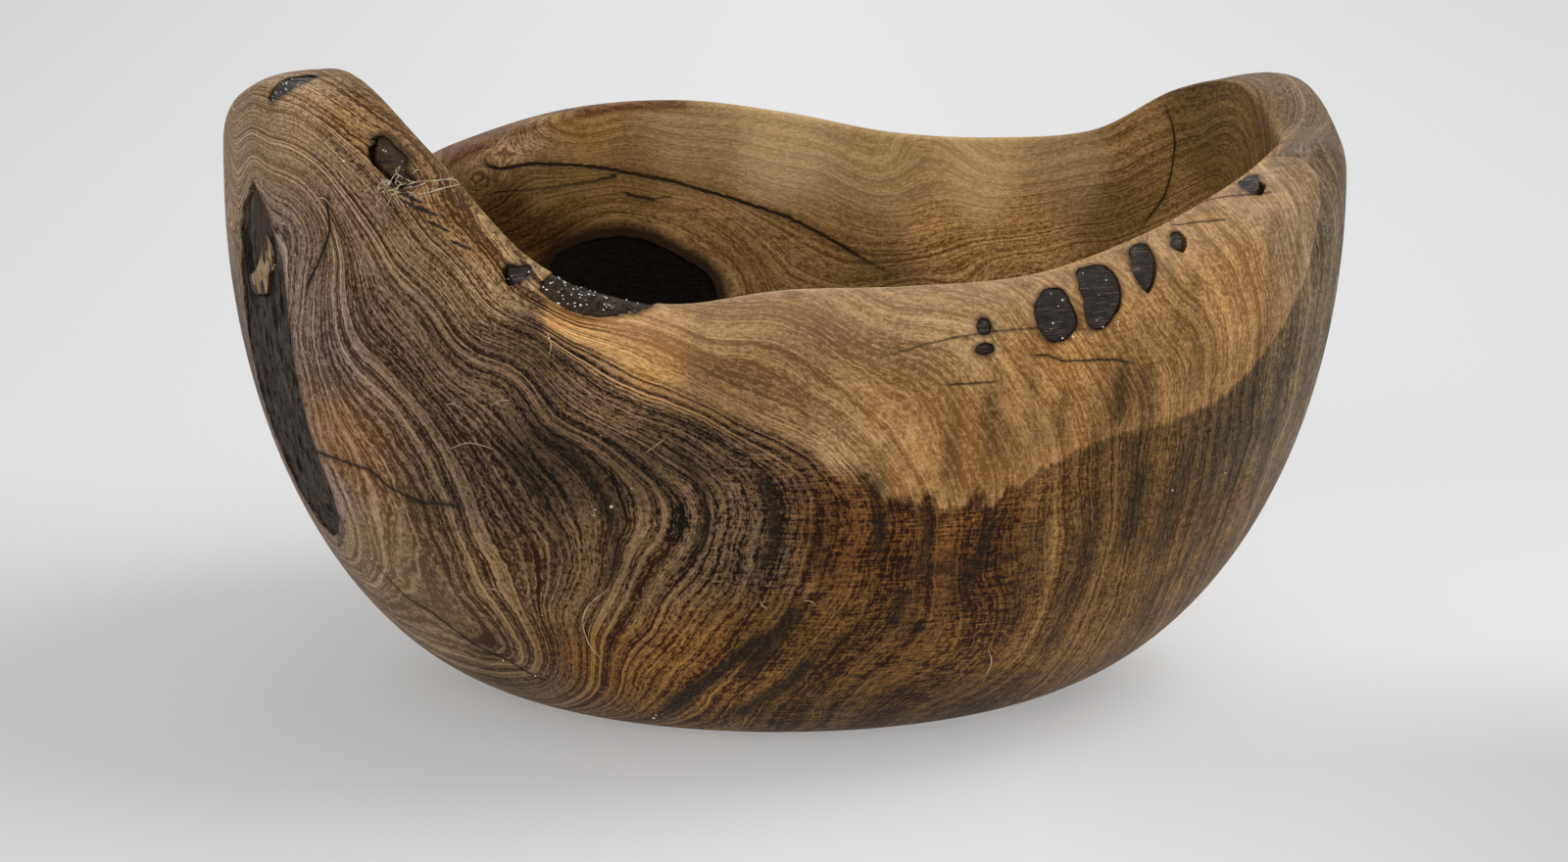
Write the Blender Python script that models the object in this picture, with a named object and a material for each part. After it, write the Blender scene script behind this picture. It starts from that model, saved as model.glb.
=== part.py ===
"""Yarn bowl carved from one piece of root wood.

The bowl is a swelling ellipse in plan with a wavy natural rim: a tall lobe at the left, a
second lobe at the right and a low notch at the front left, over which the yarn runs.  Dead
knots, bark and a splinter sit in the wood as separate pieces, each in its own pocket.

Metres, +Z up, front = -Y, right = +X.  The origin is under the middle of the bowl, on the
table.  Directions are in degrees, counter-clockwise from the right as seen from above, so
the front is at 270.
"""
from math import cos, pi, radians, sin, sqrt

import bmesh
import bpy
from mathutils import Matrix, Vector

MM = 0.001

# ---- driving dimensions of the bowl, millimetres -------------------------------------------
HALF_WIDTH = 100.0       # plan half-width where the wall stands upright
HALF_DEPTH = 87.5        # plan half-depth at the same height
BASE_SHARE = 0.425       # the flat foot's size as a share of the plan
FOOT_SHIFT = -1.2        # the foot sits this far to the left of the rim's middle
SWELL_HEIGHT = 91.0      # height at which the wall stops swelling outwards
FLOOR_TOP = 13.0         # thickness of the floor in the middle
HOLLOW_HEIGHT = 80.0     # height at which the hollow stops widening
HOLLOW_SQUARENESS = 2.8  # how square the hollow's section is; 2 would be an ellipse
EDGE_ROUND = 1.0         # the small round along the rim's inner edge
LOBE_CROWN = 1.8         # how far the right lobe's rim swells above its inner edge
LOBE_DIRECTION = 8.0     # the direction in degrees where it swells most

# The rim, one value every 15 degrees from the right: height of its inner edge, wall width,
# how far the outer shoulder rounds down below the inner edge, and how square that round is.
RIM_HEIGHT = [99.6, 105.0, 101.0, 90.6, 87.3, 87.4, 91.0, 93.7,
              92.8, 88.0, 82.0, 88.5, 101.8, 111.8, 116.0, 104.5,
              88.4, 83.2, 85.8, 86.1, 86.9, 91.4, 96.9, 100.2]
RIM_WIDTH = [12.5, 13.0, 12.0, 10.5, 10.0, 10.0, 10.0, 10.0,
             10.0, 10.0, 10.0, 11.0, 12.0, 12.5, 12.5, 11.5,
             10.0, 9.5, 9.5, 9.5, 9.5, 10.0, 10.5, 11.5]
RIM_ROUND = [7.0, 6.0, 6.0, 9.0, 9.0, 9.0, 9.0, 8.0,
             5.0, 4.0, 5.0, 8.0, 9.0, 7.5, 6.5, 9.0,
             11.0, 10.0, 9.0, 9.0, 9.0, 9.0, 9.0, 8.0]
SHOULDER_SQUARENESS = [3.2, 4.0, 3.2, 2.2, 2.0, 2.0, 2.0, 2.0,
                       2.4, 2.6, 2.4, 2.2, 2.6, 3.4, 3.6, 2.6,
                       2.2, 2.0, 2.0, 2.0, 2.0, 2.0, 2.2, 2.6]

# ---- mesh density --------------------------------------------------------------------------
DIRECTIONS = 90
WALL_ROWS = 14
SHOULDER_ROWS = 7
UPPER_ROWS = 3
HOLLOW_ROWS = 12
OUTLINE_POINTS = 20

# ---- fit of the loose pieces ---------------------------------------------------------------
FIT_GAP = 0.3            # clearance between a piece and its pocket
PROUD = 8.0              # how far a cutter stands out of the wood

# ---- materials: colour, roughness ----------------------------------------------------------
WALNUT = ("root wood", (0.30, 0.17, 0.075), 0.55)
DEAD_KNOT = ("dead knot", (0.022, 0.015, 0.013), 0.60)
BARK = ("bark", (0.055, 0.042, 0.034), 0.85)
SPLINTER = ("pale splinter", (0.42, 0.28, 0.15), 0.70)

# ---- pieces in the outer wall and the shoulder ---------------------------------------------
# name: direction, height in mm, depth in mm, material, outline.
# An outline is a closed smooth curve; its points are millimetres right and up from the
# piece's centre, as seen looking straight at the wood.
OUTER_PIECES = {
    "left_bark_inclusion": (
        203.0, 64.0, 7.0, BARK,
        [(-2.2, 32.0), (-8.5, 26.0), (-10.5, 20.0), (-12.5, 8.0), (-14.5, -4.0), (-14.0, -14.0),
         (-11.5, -22.0), (-8.5, -28.0), (-4.5, -32.0), (0.5, -32.0), (5.0, -29.0),
         (8.4, -24.0), (8.0, -16.0), (7.6, -6.0), (8.0, 3.0), (8.6, 12.0), (8.8, 18.5),
         (6.8, 23.0), (3.0, 28.5)]),
    "lobe_top_knot": (
        208.3, 114.2, 5.0, DEAD_KNOT,
        [(-3.9, -1.9), (-2.4, -0.1), (-1.0, 1.8), (0.8, 3.1), (3.2, 4.4), (3.8, 2.3),
         (2.9, 0.5), (0.7, -1.3), (-2.2, -2.3)]),
    "lobe_edge_knot": (
        223.9, 104.0, 4.5, DEAD_KNOT,
        [(-2.7, 4.7), (-1.3, 5.7), (0.8, 3.6), (2.4, 1.1), (2.3, -1.7), (4.2, -3.7),
         (2.6, -4.7), (0.7, -3.0), (-1.2, -0.8), (-2.6, 1.6)]),
    "notch_knot": (
        239.4, 87.8, 3.5, DEAD_KNOT,
        [(-1.7, 1.2), (0.2, 1.0), (2.2, 1.5), (1.2, -1.2), (-1.2, -1.8)]),
    "rim_knot_upper_dot": (
        291.4, 80.3, 4.0, DEAD_KNOT,
        [(-0.9, 0.6), (0.1, 1.3), (1.0, 0.6), (1.0, -0.7), (0.0, -1.2), (-0.9, -0.6)]),
    "rim_knot_lower_dot": (
        291.4, 76.7, 4.0, DEAD_KNOT,
        [(-1.4, 0.3), (-0.2, 0.9), (1.3, 0.4), (1.4, -0.5), (0.0, -0.8), (-1.3, -0.5)]),
    "rim_knot_left": (
        299.9, 81.0, 5.0, DEAD_KNOT,
        [(-3.6, 2.3), (-1.2, 4.7), (1.6, 4.5), (3.0, 0.8), (3.1, -1.8), (0.9, -3.7),
         (-2.0, -3.6), (-3.9, -0.6)]),
    "rim_knot_middle": (
        305.4, 83.5, 5.0, DEAD_KNOT,
        [(-3.2, 4.6), (-0.6, 6.1), (2.6, 5.4), (3.3, 2.0), (3.1, -0.8), (1.0, -3.6),
         (-1.4, -5.0), (-3.3, -4.2), (-3.7, -0.6)]),
    "rim_knot_right": (
        311.5, 87.5, 4.5, DEAD_KNOT,
        [(-1.8, 2.8), (-0.1, 4.8), (1.6, 4.6), (1.9, 1.6), (0.6, -2.4), (-1.3, -4.0),
         (-2.7, -1.0)]),
    "rim_knot_small": (
        316.8, 90.8, 4.0, DEAD_KNOT,
        [(-0.1, 2.1), (1.1, 1.9), (0.8, -0.2), (-0.3, -1.9), (-1.3, -1.4), (-1.0, 0.6)]),
    "rim_knot_far_right": (
        331.7, 97.0, 4.0, DEAD_KNOT,
        [(-3.6, 1.6), (-1.2, 4.0), (0.8, 4.4), (0.2, 1.2), (-1.8, -1.6), (-3.3, -1.4)]),
}

# The pale splinter lies in the bark of the left inclusion.
SPLINTER_PIECE = (
    202.9, 81.5, 3.2, SPLINTER,
    [(3.2, 6.2), (5.4, 4.6), (5.4, 1.6), (3.0, -0.6), (1.4, -4.2), (-1.8, -4.6), (-4.9, -5.2),
     (-6.4, -2.6), (-2.8, -0.8), (0.4, 2.2)])

# The big knot in the back of the hollow.
INNER_KNOT_PIECE = (
    111.5, 63.8, 5.0, DEAD_KNOT,
    [(-18.2, -0.4), (-13.9, 1.9), (-8.8, 3.3), (-2.8, 3.6), (3.0, 1.8), (9.0, -1.6),
     (13.6, -5.0), (14.8, -10.0), (9.0, -16.0), (-1.0, -18.5), (-11.0, -16.0), (-18.0, -9.0)])

# Bark left on the rim in the low notch: a lens across the full thickness of the wall, as
# millimetres along the rim and up from its lowest point.
NOTCH_BARK_DIRECTION = 250.0
NOTCH_BARK_HEIGHT = 81.5
NOTCH_BARK_OUTLINE = [(-11.6, 3.6), (-9.2, 2.2), (-6.9, 1.0), (-4.6, 0.2), (-1.6, 0.0),
                      (1.9, 0.1), (4.5, 0.6), (6.6, 1.4), (7.6, 2.8), (8.0, 12.0),
                      (-12.0, 14.0)]


# ---- shape of the bowl ---------------------------------------------------------------------
def around(values, angle):
    """Smooth closed curve through values spaced evenly round the circle."""
    count = len(values)
    place = (angle / (2 * pi) * count) % count
    index = int(place)
    t = place - index
    a, b, c, d = (values[(index + step) % count] for step in (-1, 0, 1, 2))
    return b + 0.5 * t * (c - a + t * (2 * a - 5 * b + 4 * c - d + t * (3 * (b - c) + d - a)))


def plan_radius(angle):
    """Distance from the axis to the upright part of the wall."""
    return HALF_WIDTH * HALF_DEPTH / sqrt(
        (HALF_DEPTH * cos(angle)) ** 2 + (HALF_WIDTH * sin(angle)) ** 2)


def wall_radius(angle, z):
    """Outer wall: a quarter of an ellipse from the foot up to SWELL_HEIGHT, then upright."""
    below = max(0.0, 1 - z / SWELL_HEIGHT)
    return plan_radius(angle) * (BASE_SHARE + (1 - BASE_SHARE) * sqrt(1 - below * below))


def section(angle):
    """The wood's section in one direction, as (radius, height) from foot to floor."""
    height = around(RIM_HEIGHT, angle)
    width = around(RIM_WIDTH, angle)
    drop = around(RIM_ROUND, angle)
    square = 2 / around(SHOULDER_SQUARENESS, angle)
    hollow = plan_radius(angle) - width
    shoulder = height - drop
    points = []
    for row in range(WALL_ROWS + 1):
        z = shoulder * (1 - cos(row / WALL_ROWS * pi / 2))
        points.append((wall_radius(angle, z), z))
    top = wall_radius(angle, shoulder)
    edge = hollow + EDGE_ROUND
    crown = LOBE_CROWN * max(0.0, cos(angle - radians(LOBE_DIRECTION))) ** 6
    for row in range(1, SHOULDER_ROWS + 1):
        turn = row / SHOULDER_ROWS * pi / 2
        points.append((edge + (top - edge) * max(0.0, cos(turn)) ** square,
                       shoulder + drop * sin(turn) ** square + crown * sin(2 * turn)))
    points.append((hollow + 0.3 * EDGE_ROUND, height - 0.3 * EDGE_ROUND))
    for row in range(UPPER_ROWS):
        t = row / UPPER_ROWS
        points.append((hollow, (height - EDGE_ROUND) * (1 - t) + HOLLOW_HEIGHT * t))
    power = 2 / HOLLOW_SQUARENESS
    for row in range(HOLLOW_ROWS):
        turn = row / HOLLOW_ROWS * pi / 2
        depth = (HOLLOW_HEIGHT - FLOOR_TOP) * sin(turn) ** power
        points.append((hollow * cos(turn) ** power, HOLLOW_HEIGHT - depth))
    return points


def at(angle, radius, z):
    shift = FOOT_SHIFT * max(0.0, 1 - z / SWELL_HEIGHT) ** 4
    return Vector((radius * cos(angle) + shift, radius * sin(angle), z)) * MM


def outside_of(points):
    return points[:WALL_ROWS + SHOULDER_ROWS + 1]


def inside_of(points):
    return points[WALL_ROWS + SHOULDER_ROWS + 2:]


def point_at_height(angle, z, side):
    """The surface point at height z on the outside or the inside of the wall."""
    points = side(section(angle))
    for (r0, z0), (r1, z1) in zip(points, points[1:]):
        if min(z0, z1) <= z <= max(z0, z1) and z0 != z1:
            t = (z - z0) / (z1 - z0)
            return at(angle, r0 + t * (r1 - r0), z)
    return at(angle, *points[-1])


def surface_frame(direction, z, side):
    """Axes (right, up, out of the wood) and origin on the surface, for a piece's outline."""
    angle = radians(direction)
    facing = 1 if side is outside_of else -1
    step = radians(0.5)
    right = point_at_height(angle + step, z, side) - point_at_height(angle - step, z, side)
    rise = point_at_height(angle, z + 0.5, side) - point_at_height(angle, z - 0.5, side)
    right = right.normalized() * facing
    normal = right.cross(rise).normalized()
    up = normal.cross(right)
    axes = Matrix((right, up, normal)).transposed().to_4x4()
    return Matrix.Translation(point_at_height(angle, z, side)) @ axes


# ---- mesh helpers --------------------------------------------------------------------------
def new_object(name, mesh_data):
    mesh = bpy.data.meshes.new(name)
    bmesh.ops.recalc_face_normals(mesh_data, faces=mesh_data.faces)
    mesh_data.to_mesh(mesh)
    mesh_data.free()
    obj = bpy.data.objects.new(name, mesh)
    bpy.context.scene.collection.objects.link(obj)
    return obj


def give_material(obj, look):
    name, colour, roughness = look
    material = bpy.data.materials.get(name)
    if material is None:
        material = bpy.data.materials.new(name)
        material.use_nodes = True
        shader = material.node_tree.nodes["Principled BSDF"]
        shader.inputs["Base Color"].default_value = (*colour, 1)
        shader.inputs["Roughness"].default_value = roughness
        material.diffuse_color = (*colour, 1)
    obj.data.materials.clear()
    obj.data.materials.append(material)


def smooth_loop(points, count):
    """Closed curve through the points, with count points spread evenly over its spans."""
    loop = []
    for step in range(count):
        angle = 2 * pi * step / count
        loop.append((around([p[0] for p in points], angle), around([p[1] for p in points], angle)))
    return loop


def grown(loop, amount):
    """The loop pushed outwards by amount, for the pocket round a piece."""
    area = sum(a[0] * b[1] - b[0] * a[1] for a, b in zip(loop, loop[1:] + loop[:1]))
    sign = 1 if area > 0 else -1
    result = []
    for before, here, after in zip(loop[-1:] + loop[:-1], loop, loop[1:] + loop[:1]):
        along = Vector((after[0] - before[0], after[1] - before[1])).normalized()
        result.append((here[0] + sign * amount * along.y, here[1] - sign * amount * along.x))
    return result


def prism(name, frame, loop, low, high):
    """Closed prism over a loop, from low to high millimetres along the frame's normal."""
    data = bmesh.new()
    rings = []
    for level in (low, high):
        rings.append([data.verts.new(frame @ (Vector((u, v, level)) * MM)) for u, v in loop])
    data.faces.new(rings[0])
    data.faces.new(rings[1])
    for i in range(len(loop)):
        j = (i + 1) % len(loop)
        data.faces.new((rings[0][i], rings[0][j], rings[1][j], rings[1][i]))
    return new_object(name, data)


def combine(obj, other, operation):
    """Apply one exact boolean to obj and delete the other object."""
    modifier = obj.modifiers.new("cut", "BOOLEAN")
    modifier.operation = operation
    modifier.solver = "EXACT"
    modifier.object = other
    graph = bpy.context.evaluated_depsgraph_get()
    mesh = bpy.data.meshes.new_from_object(obj.evaluated_get(graph))
    obj.modifiers.remove(modifier)
    old = obj.data
    obj.data = mesh
    bpy.data.meshes.remove(old)
    bpy.data.objects.remove(other)


# ---- pieces --------------------------------------------------------------------------------
def make_bowl(name):
    data = bmesh.new()
    rings = []
    for step in range(DIRECTIONS):
        angle = 2 * pi * step / DIRECTIONS
        rings.append([data.verts.new(at(angle, r, z)) for r, z in section(angle)])
    rows = len(rings[0])
    for i in range(DIRECTIONS):
        here = rings[i]
        beside = rings[(i + 1) % DIRECTIONS]
        for row in range(rows - 1):
            data.faces.new((here[row], beside[row], beside[row + 1], here[row + 1]))
    data.faces.new([ring[0] for ring in rings])
    centre = data.verts.new(at(0, 0, FLOOR_TOP))
    for i in range(DIRECTIONS):
        data.faces.new((rings[i][-1], rings[(i + 1) % DIRECTIONS][-1], centre))
    return new_object(name, data)


def inlay(name, frame, loop, depth, look, host, blank):
    """Cut a pocket in the host and fill it with a piece that ends flush with the wood."""
    piece = blank.copy()
    piece.data = blank.data.copy()
    piece.name = name
    piece.data.name = name
    bpy.context.scene.collection.objects.link(piece)
    combine(piece, prism("core", frame, loop, -depth, PROUD), "INTERSECT")
    give_material(piece, look)
    pocket = prism("pocket", frame, grown(loop, FIT_GAP), -depth - FIT_GAP, PROUD)
    combine(host, pocket, "DIFFERENCE")
    return piece


def build():
    for obj in list(bpy.data.objects):
        bpy.data.objects.remove(obj)
    body = make_bowl("bowl_body")
    blank = make_bowl("uncut bowl")
    pieces = {}
    for name, (direction, z, depth, look, outline) in OUTER_PIECES.items():
        frame = surface_frame(direction, z, outside_of)
        loop = smooth_loop(outline, OUTLINE_POINTS)
        pieces[name] = inlay(name, frame, loop, depth, look, body, blank)

    direction, z, depth, look, outline = SPLINTER_PIECE
    frame = surface_frame(direction, z, outside_of)
    loop = smooth_loop(outline, OUTLINE_POINTS)
    bark = pieces["left_bark_inclusion"]
    pieces["bark_splinter"] = inlay("bark_splinter", frame, loop, depth, look, bark, blank)

    direction, z, depth, look, outline = INNER_KNOT_PIECE
    frame = surface_frame(direction, z, inside_of)
    loop = smooth_loop(outline, 2 * OUTLINE_POINTS)
    pieces["inner_knot"] = inlay("inner_knot", frame, loop, depth, look, body, blank)

    angle = radians(NOTCH_BARK_DIRECTION)
    across = Matrix((Vector((-sin(angle), cos(angle), 0)), Vector((0, 0, 1)),
                     Vector((cos(angle), sin(angle), 0)))).transposed().to_4x4()
    top = point_at_height(angle, NOTCH_BARK_HEIGHT, outside_of)
    frame = Matrix.Translation(top) @ across
    pieces["notch_bark_strip"] = inlay("notch_bark_strip", frame, NOTCH_BARK_OUTLINE,
                                       2 * PROUD, BARK, body, blank)

    bpy.data.objects.remove(blank)
    give_material(body, WALNUT)


build()
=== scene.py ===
"""Looks of the yarn bowl: fine surface, grain, knots, bark and studio."""
import itertools
import math

import bpy
import numpy as np
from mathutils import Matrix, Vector
from mathutils.bvhtree import BVHTree
from mathutils.kdtree import KDTree


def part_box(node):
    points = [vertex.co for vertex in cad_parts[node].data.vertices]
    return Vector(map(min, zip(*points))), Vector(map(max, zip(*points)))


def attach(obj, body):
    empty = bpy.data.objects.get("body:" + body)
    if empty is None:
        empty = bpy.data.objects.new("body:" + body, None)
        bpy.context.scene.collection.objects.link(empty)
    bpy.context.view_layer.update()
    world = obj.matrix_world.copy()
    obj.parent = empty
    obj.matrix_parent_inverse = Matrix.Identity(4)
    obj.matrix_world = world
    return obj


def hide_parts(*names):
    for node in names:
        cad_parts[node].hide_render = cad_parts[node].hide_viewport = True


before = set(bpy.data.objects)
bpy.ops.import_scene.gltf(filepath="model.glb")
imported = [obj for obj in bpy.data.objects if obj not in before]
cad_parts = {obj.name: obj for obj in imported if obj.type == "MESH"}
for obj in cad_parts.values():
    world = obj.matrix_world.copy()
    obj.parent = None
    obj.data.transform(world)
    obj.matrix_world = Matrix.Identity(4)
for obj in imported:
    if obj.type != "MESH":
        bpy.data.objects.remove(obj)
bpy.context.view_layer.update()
MM = 0.001

# ---- camera ----
TARGET = Vector((0, 0, 0.055))
ELEVATION = math.radians(12)
DISTANCE = 0.80
FOCAL_LENGTH = 101.5
SENSOR_WIDTH = 36
SHIFT_X = -0.0008
SHIFT_Y = -0.036


def new_object(name, data):
    obj = bpy.data.objects.new(name, data)
    bpy.context.scene.collection.objects.link(obj)
    return obj


camera_data = bpy.data.cameras.new("camera")
camera = new_object("camera", camera_data)
bpy.context.scene.camera = camera
back = Vector((0, -math.cos(ELEVATION), math.sin(ELEVATION)))
camera.location = TARGET + back * DISTANCE
camera.rotation_euler = (-back).to_track_quat("-Z", "Y").to_euler()
camera_data.lens = FOCAL_LENGTH
camera_data.sensor_width = SENSOR_WIDTH
camera_data.shift_x = SHIFT_X
camera_data.shift_y = SHIFT_Y
camera_data.clip_start, camera_data.clip_end = 0.05, 50

# ---- the bowl's shape, as in the CAD model, millimetres ----
low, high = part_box("bowl_body")
HALF_WIDTH = (high.x - low.x) / 2 / MM
DEPTH_SHARE = 0.875
HALF_DEPTH = HALF_WIDTH * DEPTH_SHARE
BASE_SHARE = 0.425            # radius of the foot, as a share of the widest radius
FOOT_SHIFT = -1.2             # how far the foot stands to the left
SWELL_HEIGHT = 91.0           # where the wall stops swelling
FLOOR_TOP = 13.0
HOLLOW_HEIGHT = 80.0          # the hollow's wall is upright above this
HOLLOW_SQUARENESS = 2.8
EDGE_ROUND = 1.0
EDGE_ARC = ((0.62, 0.08), (0.3, 0.3), (0.08, 0.62))      # outward and down, times EDGE_ROUND
LOBE_CROWN = 1.8
LOBE_DIRECTION = 8.0
# All round the rim, one value for every 15 degrees.
RIM_HEIGHT = [99.6, 105.0, 101.0, 90.6, 87.3, 87.4, 91.0, 93.7,
              92.8, 88.0, 82.0, 88.5, 101.8, 111.8, 116.0, 104.5,
              88.4, 83.2, 85.8, 86.1, 86.9, 91.4, 96.9, 100.2]
RIM_WIDTH = [12.5, 13.0, 12.0, 10.5, 10.0, 10.0, 10.0, 10.0,
             10.0, 10.0, 10.0, 11.0, 12.0, 12.5, 12.5, 11.5,
             10.0, 9.5, 9.5, 9.5, 9.5, 10.0, 10.5, 11.5]
RIM_ROUND = [7.0, 6.0, 6.0, 9.0, 9.0, 9.0, 9.0, 8.0,
             5.0, 4.0, 5.0, 8.0, 9.0, 7.5, 6.5, 9.0,
             11.0, 10.0, 9.0, 9.0, 9.0, 9.0, 9.0, 8.0]
SHOULDER_SQUARENESS = [3.2, 4.0, 3.2, 2.2, 2.0, 2.0, 2.0, 2.0,
                       2.4, 2.6, 2.4, 2.2, 2.6, 3.4, 3.6, 2.6,
                       2.2, 2.0, 2.0, 2.0, 2.0, 2.0, 2.2, 2.6]

DIRECTIONS = 440
WALL_ROWS = 84
SHOULDER_ROWS = 14
UPPER_ROWS = 8
HOLLOW_ROWS = 78
FOOT_RINGS = 9
OUTSIDE_ROWS = WALL_ROWS + SHOULDER_ROWS + 1
INSIDE_START = OUTSIDE_ROWS + len(EDGE_ARC) - 1


def around(values, angle):
    """Smooth closed curve through values spaced evenly round the circle."""
    values = np.asarray(values, float)
    count = len(values)
    place = (np.asarray(angle, float) / (2 * math.pi) * count) % count
    index = np.floor(place).astype(int)
    t = place - index
    a, b, c, d = (values[(index + step) % count] for step in (-1, 0, 1, 2))
    return b + 0.5 * t * (c - a + t * (2 * a - 5 * b + 4 * c - d + t * (3 * (b - c) + d - a)))


def plan_radius(angle):
    return HALF_WIDTH * HALF_DEPTH / np.sqrt(
        (HALF_DEPTH * np.cos(angle)) ** 2 + (HALF_WIDTH * np.sin(angle)) ** 2)


def wall_radius(angle, z):
    below = np.maximum(0.0, 1 - z / SWELL_HEIGHT)
    return plan_radius(angle) * (BASE_SHARE + (1 - BASE_SHARE) * np.sqrt(1 - below * below))


def section(angle):
    """Rows of (radius, height) from the foot over the rim to the floor, for an array of angles."""
    height = around(RIM_HEIGHT, angle)
    width = around(RIM_WIDTH, angle)
    drop = around(RIM_ROUND, angle)
    square = 2 / around(SHOULDER_SQUARENESS, angle)
    hollow = plan_radius(angle) - width
    shoulder = height - drop
    rows = []
    for row in range(WALL_ROWS + 1):
        z = shoulder * (1 - math.cos(row / WALL_ROWS * math.pi / 2))
        rows.append((wall_radius(angle, z), z))
    top = wall_radius(angle, shoulder)
    edge = hollow + EDGE_ROUND
    crown = LOBE_CROWN * np.maximum(0.0, np.cos(angle - math.radians(LOBE_DIRECTION))) ** 6
    for row in range(1, SHOULDER_ROWS + 1):
        turn = row / SHOULDER_ROWS * math.pi / 2
        rows.append((edge + (top - edge) * max(0.0, math.cos(turn)) ** square,
                     shoulder + drop * math.sin(turn) ** square + crown * math.sin(2 * turn)))
    for out, down in EDGE_ARC:
        rows.append((hollow + out * EDGE_ROUND, height - down * EDGE_ROUND))
    for row in range(UPPER_ROWS):
        t = row / UPPER_ROWS
        rows.append((hollow, (height - EDGE_ROUND) * (1 - t) + HOLLOW_HEIGHT * t))
    power = 2 / HOLLOW_SQUARENESS
    for row in range(HOLLOW_ROWS):
        turn = row / HOLLOW_ROWS * math.pi / 2
        depth = (HOLLOW_HEIGHT - FLOOR_TOP) * math.sin(turn) ** power
        rows.append((hollow * math.cos(turn) ** power, HOLLOW_HEIGHT - depth + 0 * angle))
    radius = np.array([r for r, z in rows])
    level = np.array([z + 0 * angle for r, z in rows])
    return radius, level


def place(angle, radius, z):
    """Points in space; the lower ones lean to where the foot stands."""
    shift = FOOT_SHIFT * np.maximum(0.0, 1 - z / SWELL_HEIGHT) ** 4
    return np.stack([radius * np.cos(angle) + shift, radius * np.sin(angle), z], -1)


def mesh_object(name, points, faces):
    mesh = bpy.data.meshes.new(name)
    mesh.from_pydata([tuple(p) for p in points], [], faces)
    mesh.update()
    return new_object(name, mesh)


def bowl_mesh(name):
    angle = np.arange(DIRECTIONS) / DIRECTIONS * 2 * math.pi
    radius, level = section(angle)
    grid = place(angle[None, :], radius, level)            # rows, directions, 3
    foot = [place(angle, radius[0] * (ring / FOOT_RINGS), 0 * angle)
            for ring in range(1, FOOT_RINGS)]
    centres = [place(np.zeros(1), np.zeros(1), np.full(1, z)) for z in (0.0, FLOOR_TOP)]
    points = np.concatenate([grid.reshape(-1, 3), *foot, *centres])
    foot_centre = len(points) - 2
    floor_centre = len(points) - 1
    sheet = np.roll(np.arange(foot_centre).reshape(-1, DIRECTIONS), len(foot), 0)
    here, above = sheet[:-1], sheet[1:]
    quads = np.stack([here, np.roll(here, -1, 1), np.roll(above, -1, 1), above], -1)
    faces = quads.reshape(-1, 4).tolist()
    first, last = sheet[0].tolist(), sheet[-1].tolist()
    for i in range(DIRECTIONS):
        j = (i + 1) % DIRECTIONS
        faces.append((foot_centre, first[j], first[i]))
        faces.append((floor_centre, last[i], last[j]))
    return mesh_object(name, points * MM, faces)


body = bowl_mesh("bowl_body_wood")

# ---- knots and bark: finer copies of the CAD pieces, and their pockets ----
rng = np.random.default_rng(7)
CELLS = 32
LATTICE = rng.random((CELLS, CELLS, CELLS))
LATTICE_SHIFT = 13.7


def noise(points, size):
    """Smooth random values from -1 to 1 that change over about size millimetres."""
    spot = points / size + LATTICE_SHIFT
    cell = np.floor(spot).astype(int)
    t = spot - cell
    t = t * t * (3 - 2 * t)
    total = 0.0
    for corner in itertools.product((0, 1), repeat=3):
        weight = np.where(corner, t, 1 - t).prod(1)
        total = total + weight * LATTICE[tuple((cell + corner).T % CELLS)]
    return total * 2 - 1


def read_vertices(obj, what):
    flat = np.empty(len(obj.data.vertices) * 3)
    obj.data.vertices.foreach_get(what, flat)
    return flat.reshape(-1, 3)


def vertices(obj):
    return read_vertices(obj, "co") / MM


def normals(obj):
    return read_vertices(obj, "normal")


def dress(obj, material):
    """Smooth faces and one material."""
    mesh = obj.data
    mesh.polygons.foreach_set("use_smooth", np.ones(len(mesh.polygons), bool))
    mesh.materials.clear()
    mesh.materials.append(material)


def set_vertices(obj, points):
    obj.data.vertices.foreach_set("co", (points * MM).ravel())
    obj.data.update()


def evaluated_mesh(obj):
    graph = bpy.context.evaluated_depsgraph_get()
    return bpy.data.meshes.new_from_object(obj.evaluated_get(graph))


def apply_modifiers(obj):
    fresh = evaluated_mesh(obj)
    old = obj.data
    obj.modifiers.clear()
    obj.data = fresh
    bpy.data.meshes.remove(old)


def copy_object(source, name):
    obj = new_object(name, source.data.copy())
    obj.data.name = name
    return obj


def out_of_wood(node, points):
    """Roughly the way out of the wood at each point of a piece."""
    if node == "notch_bark_strip":
        away = points * 0 + (0, 0, 1)
    elif node == "inner_knot":
        away = points * (-1, -1, 0)
    else:
        away = points - (0, 0, 58)
    return away / np.linalg.norm(away, axis=1, keepdims=True)


def facing_out(obj, away, start):
    """0 where a face turns off the way out, 1 where it follows it; start is where it begins."""
    return np.clip(((normals(obj) * away).sum(1) - start) / 0.3, 0, 1)


SNAP_REACH = 1.2              # faces this close to the bowl's skin are laid on it
WOBBLE = 0.25                 # how irregular the outlines are


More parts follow.
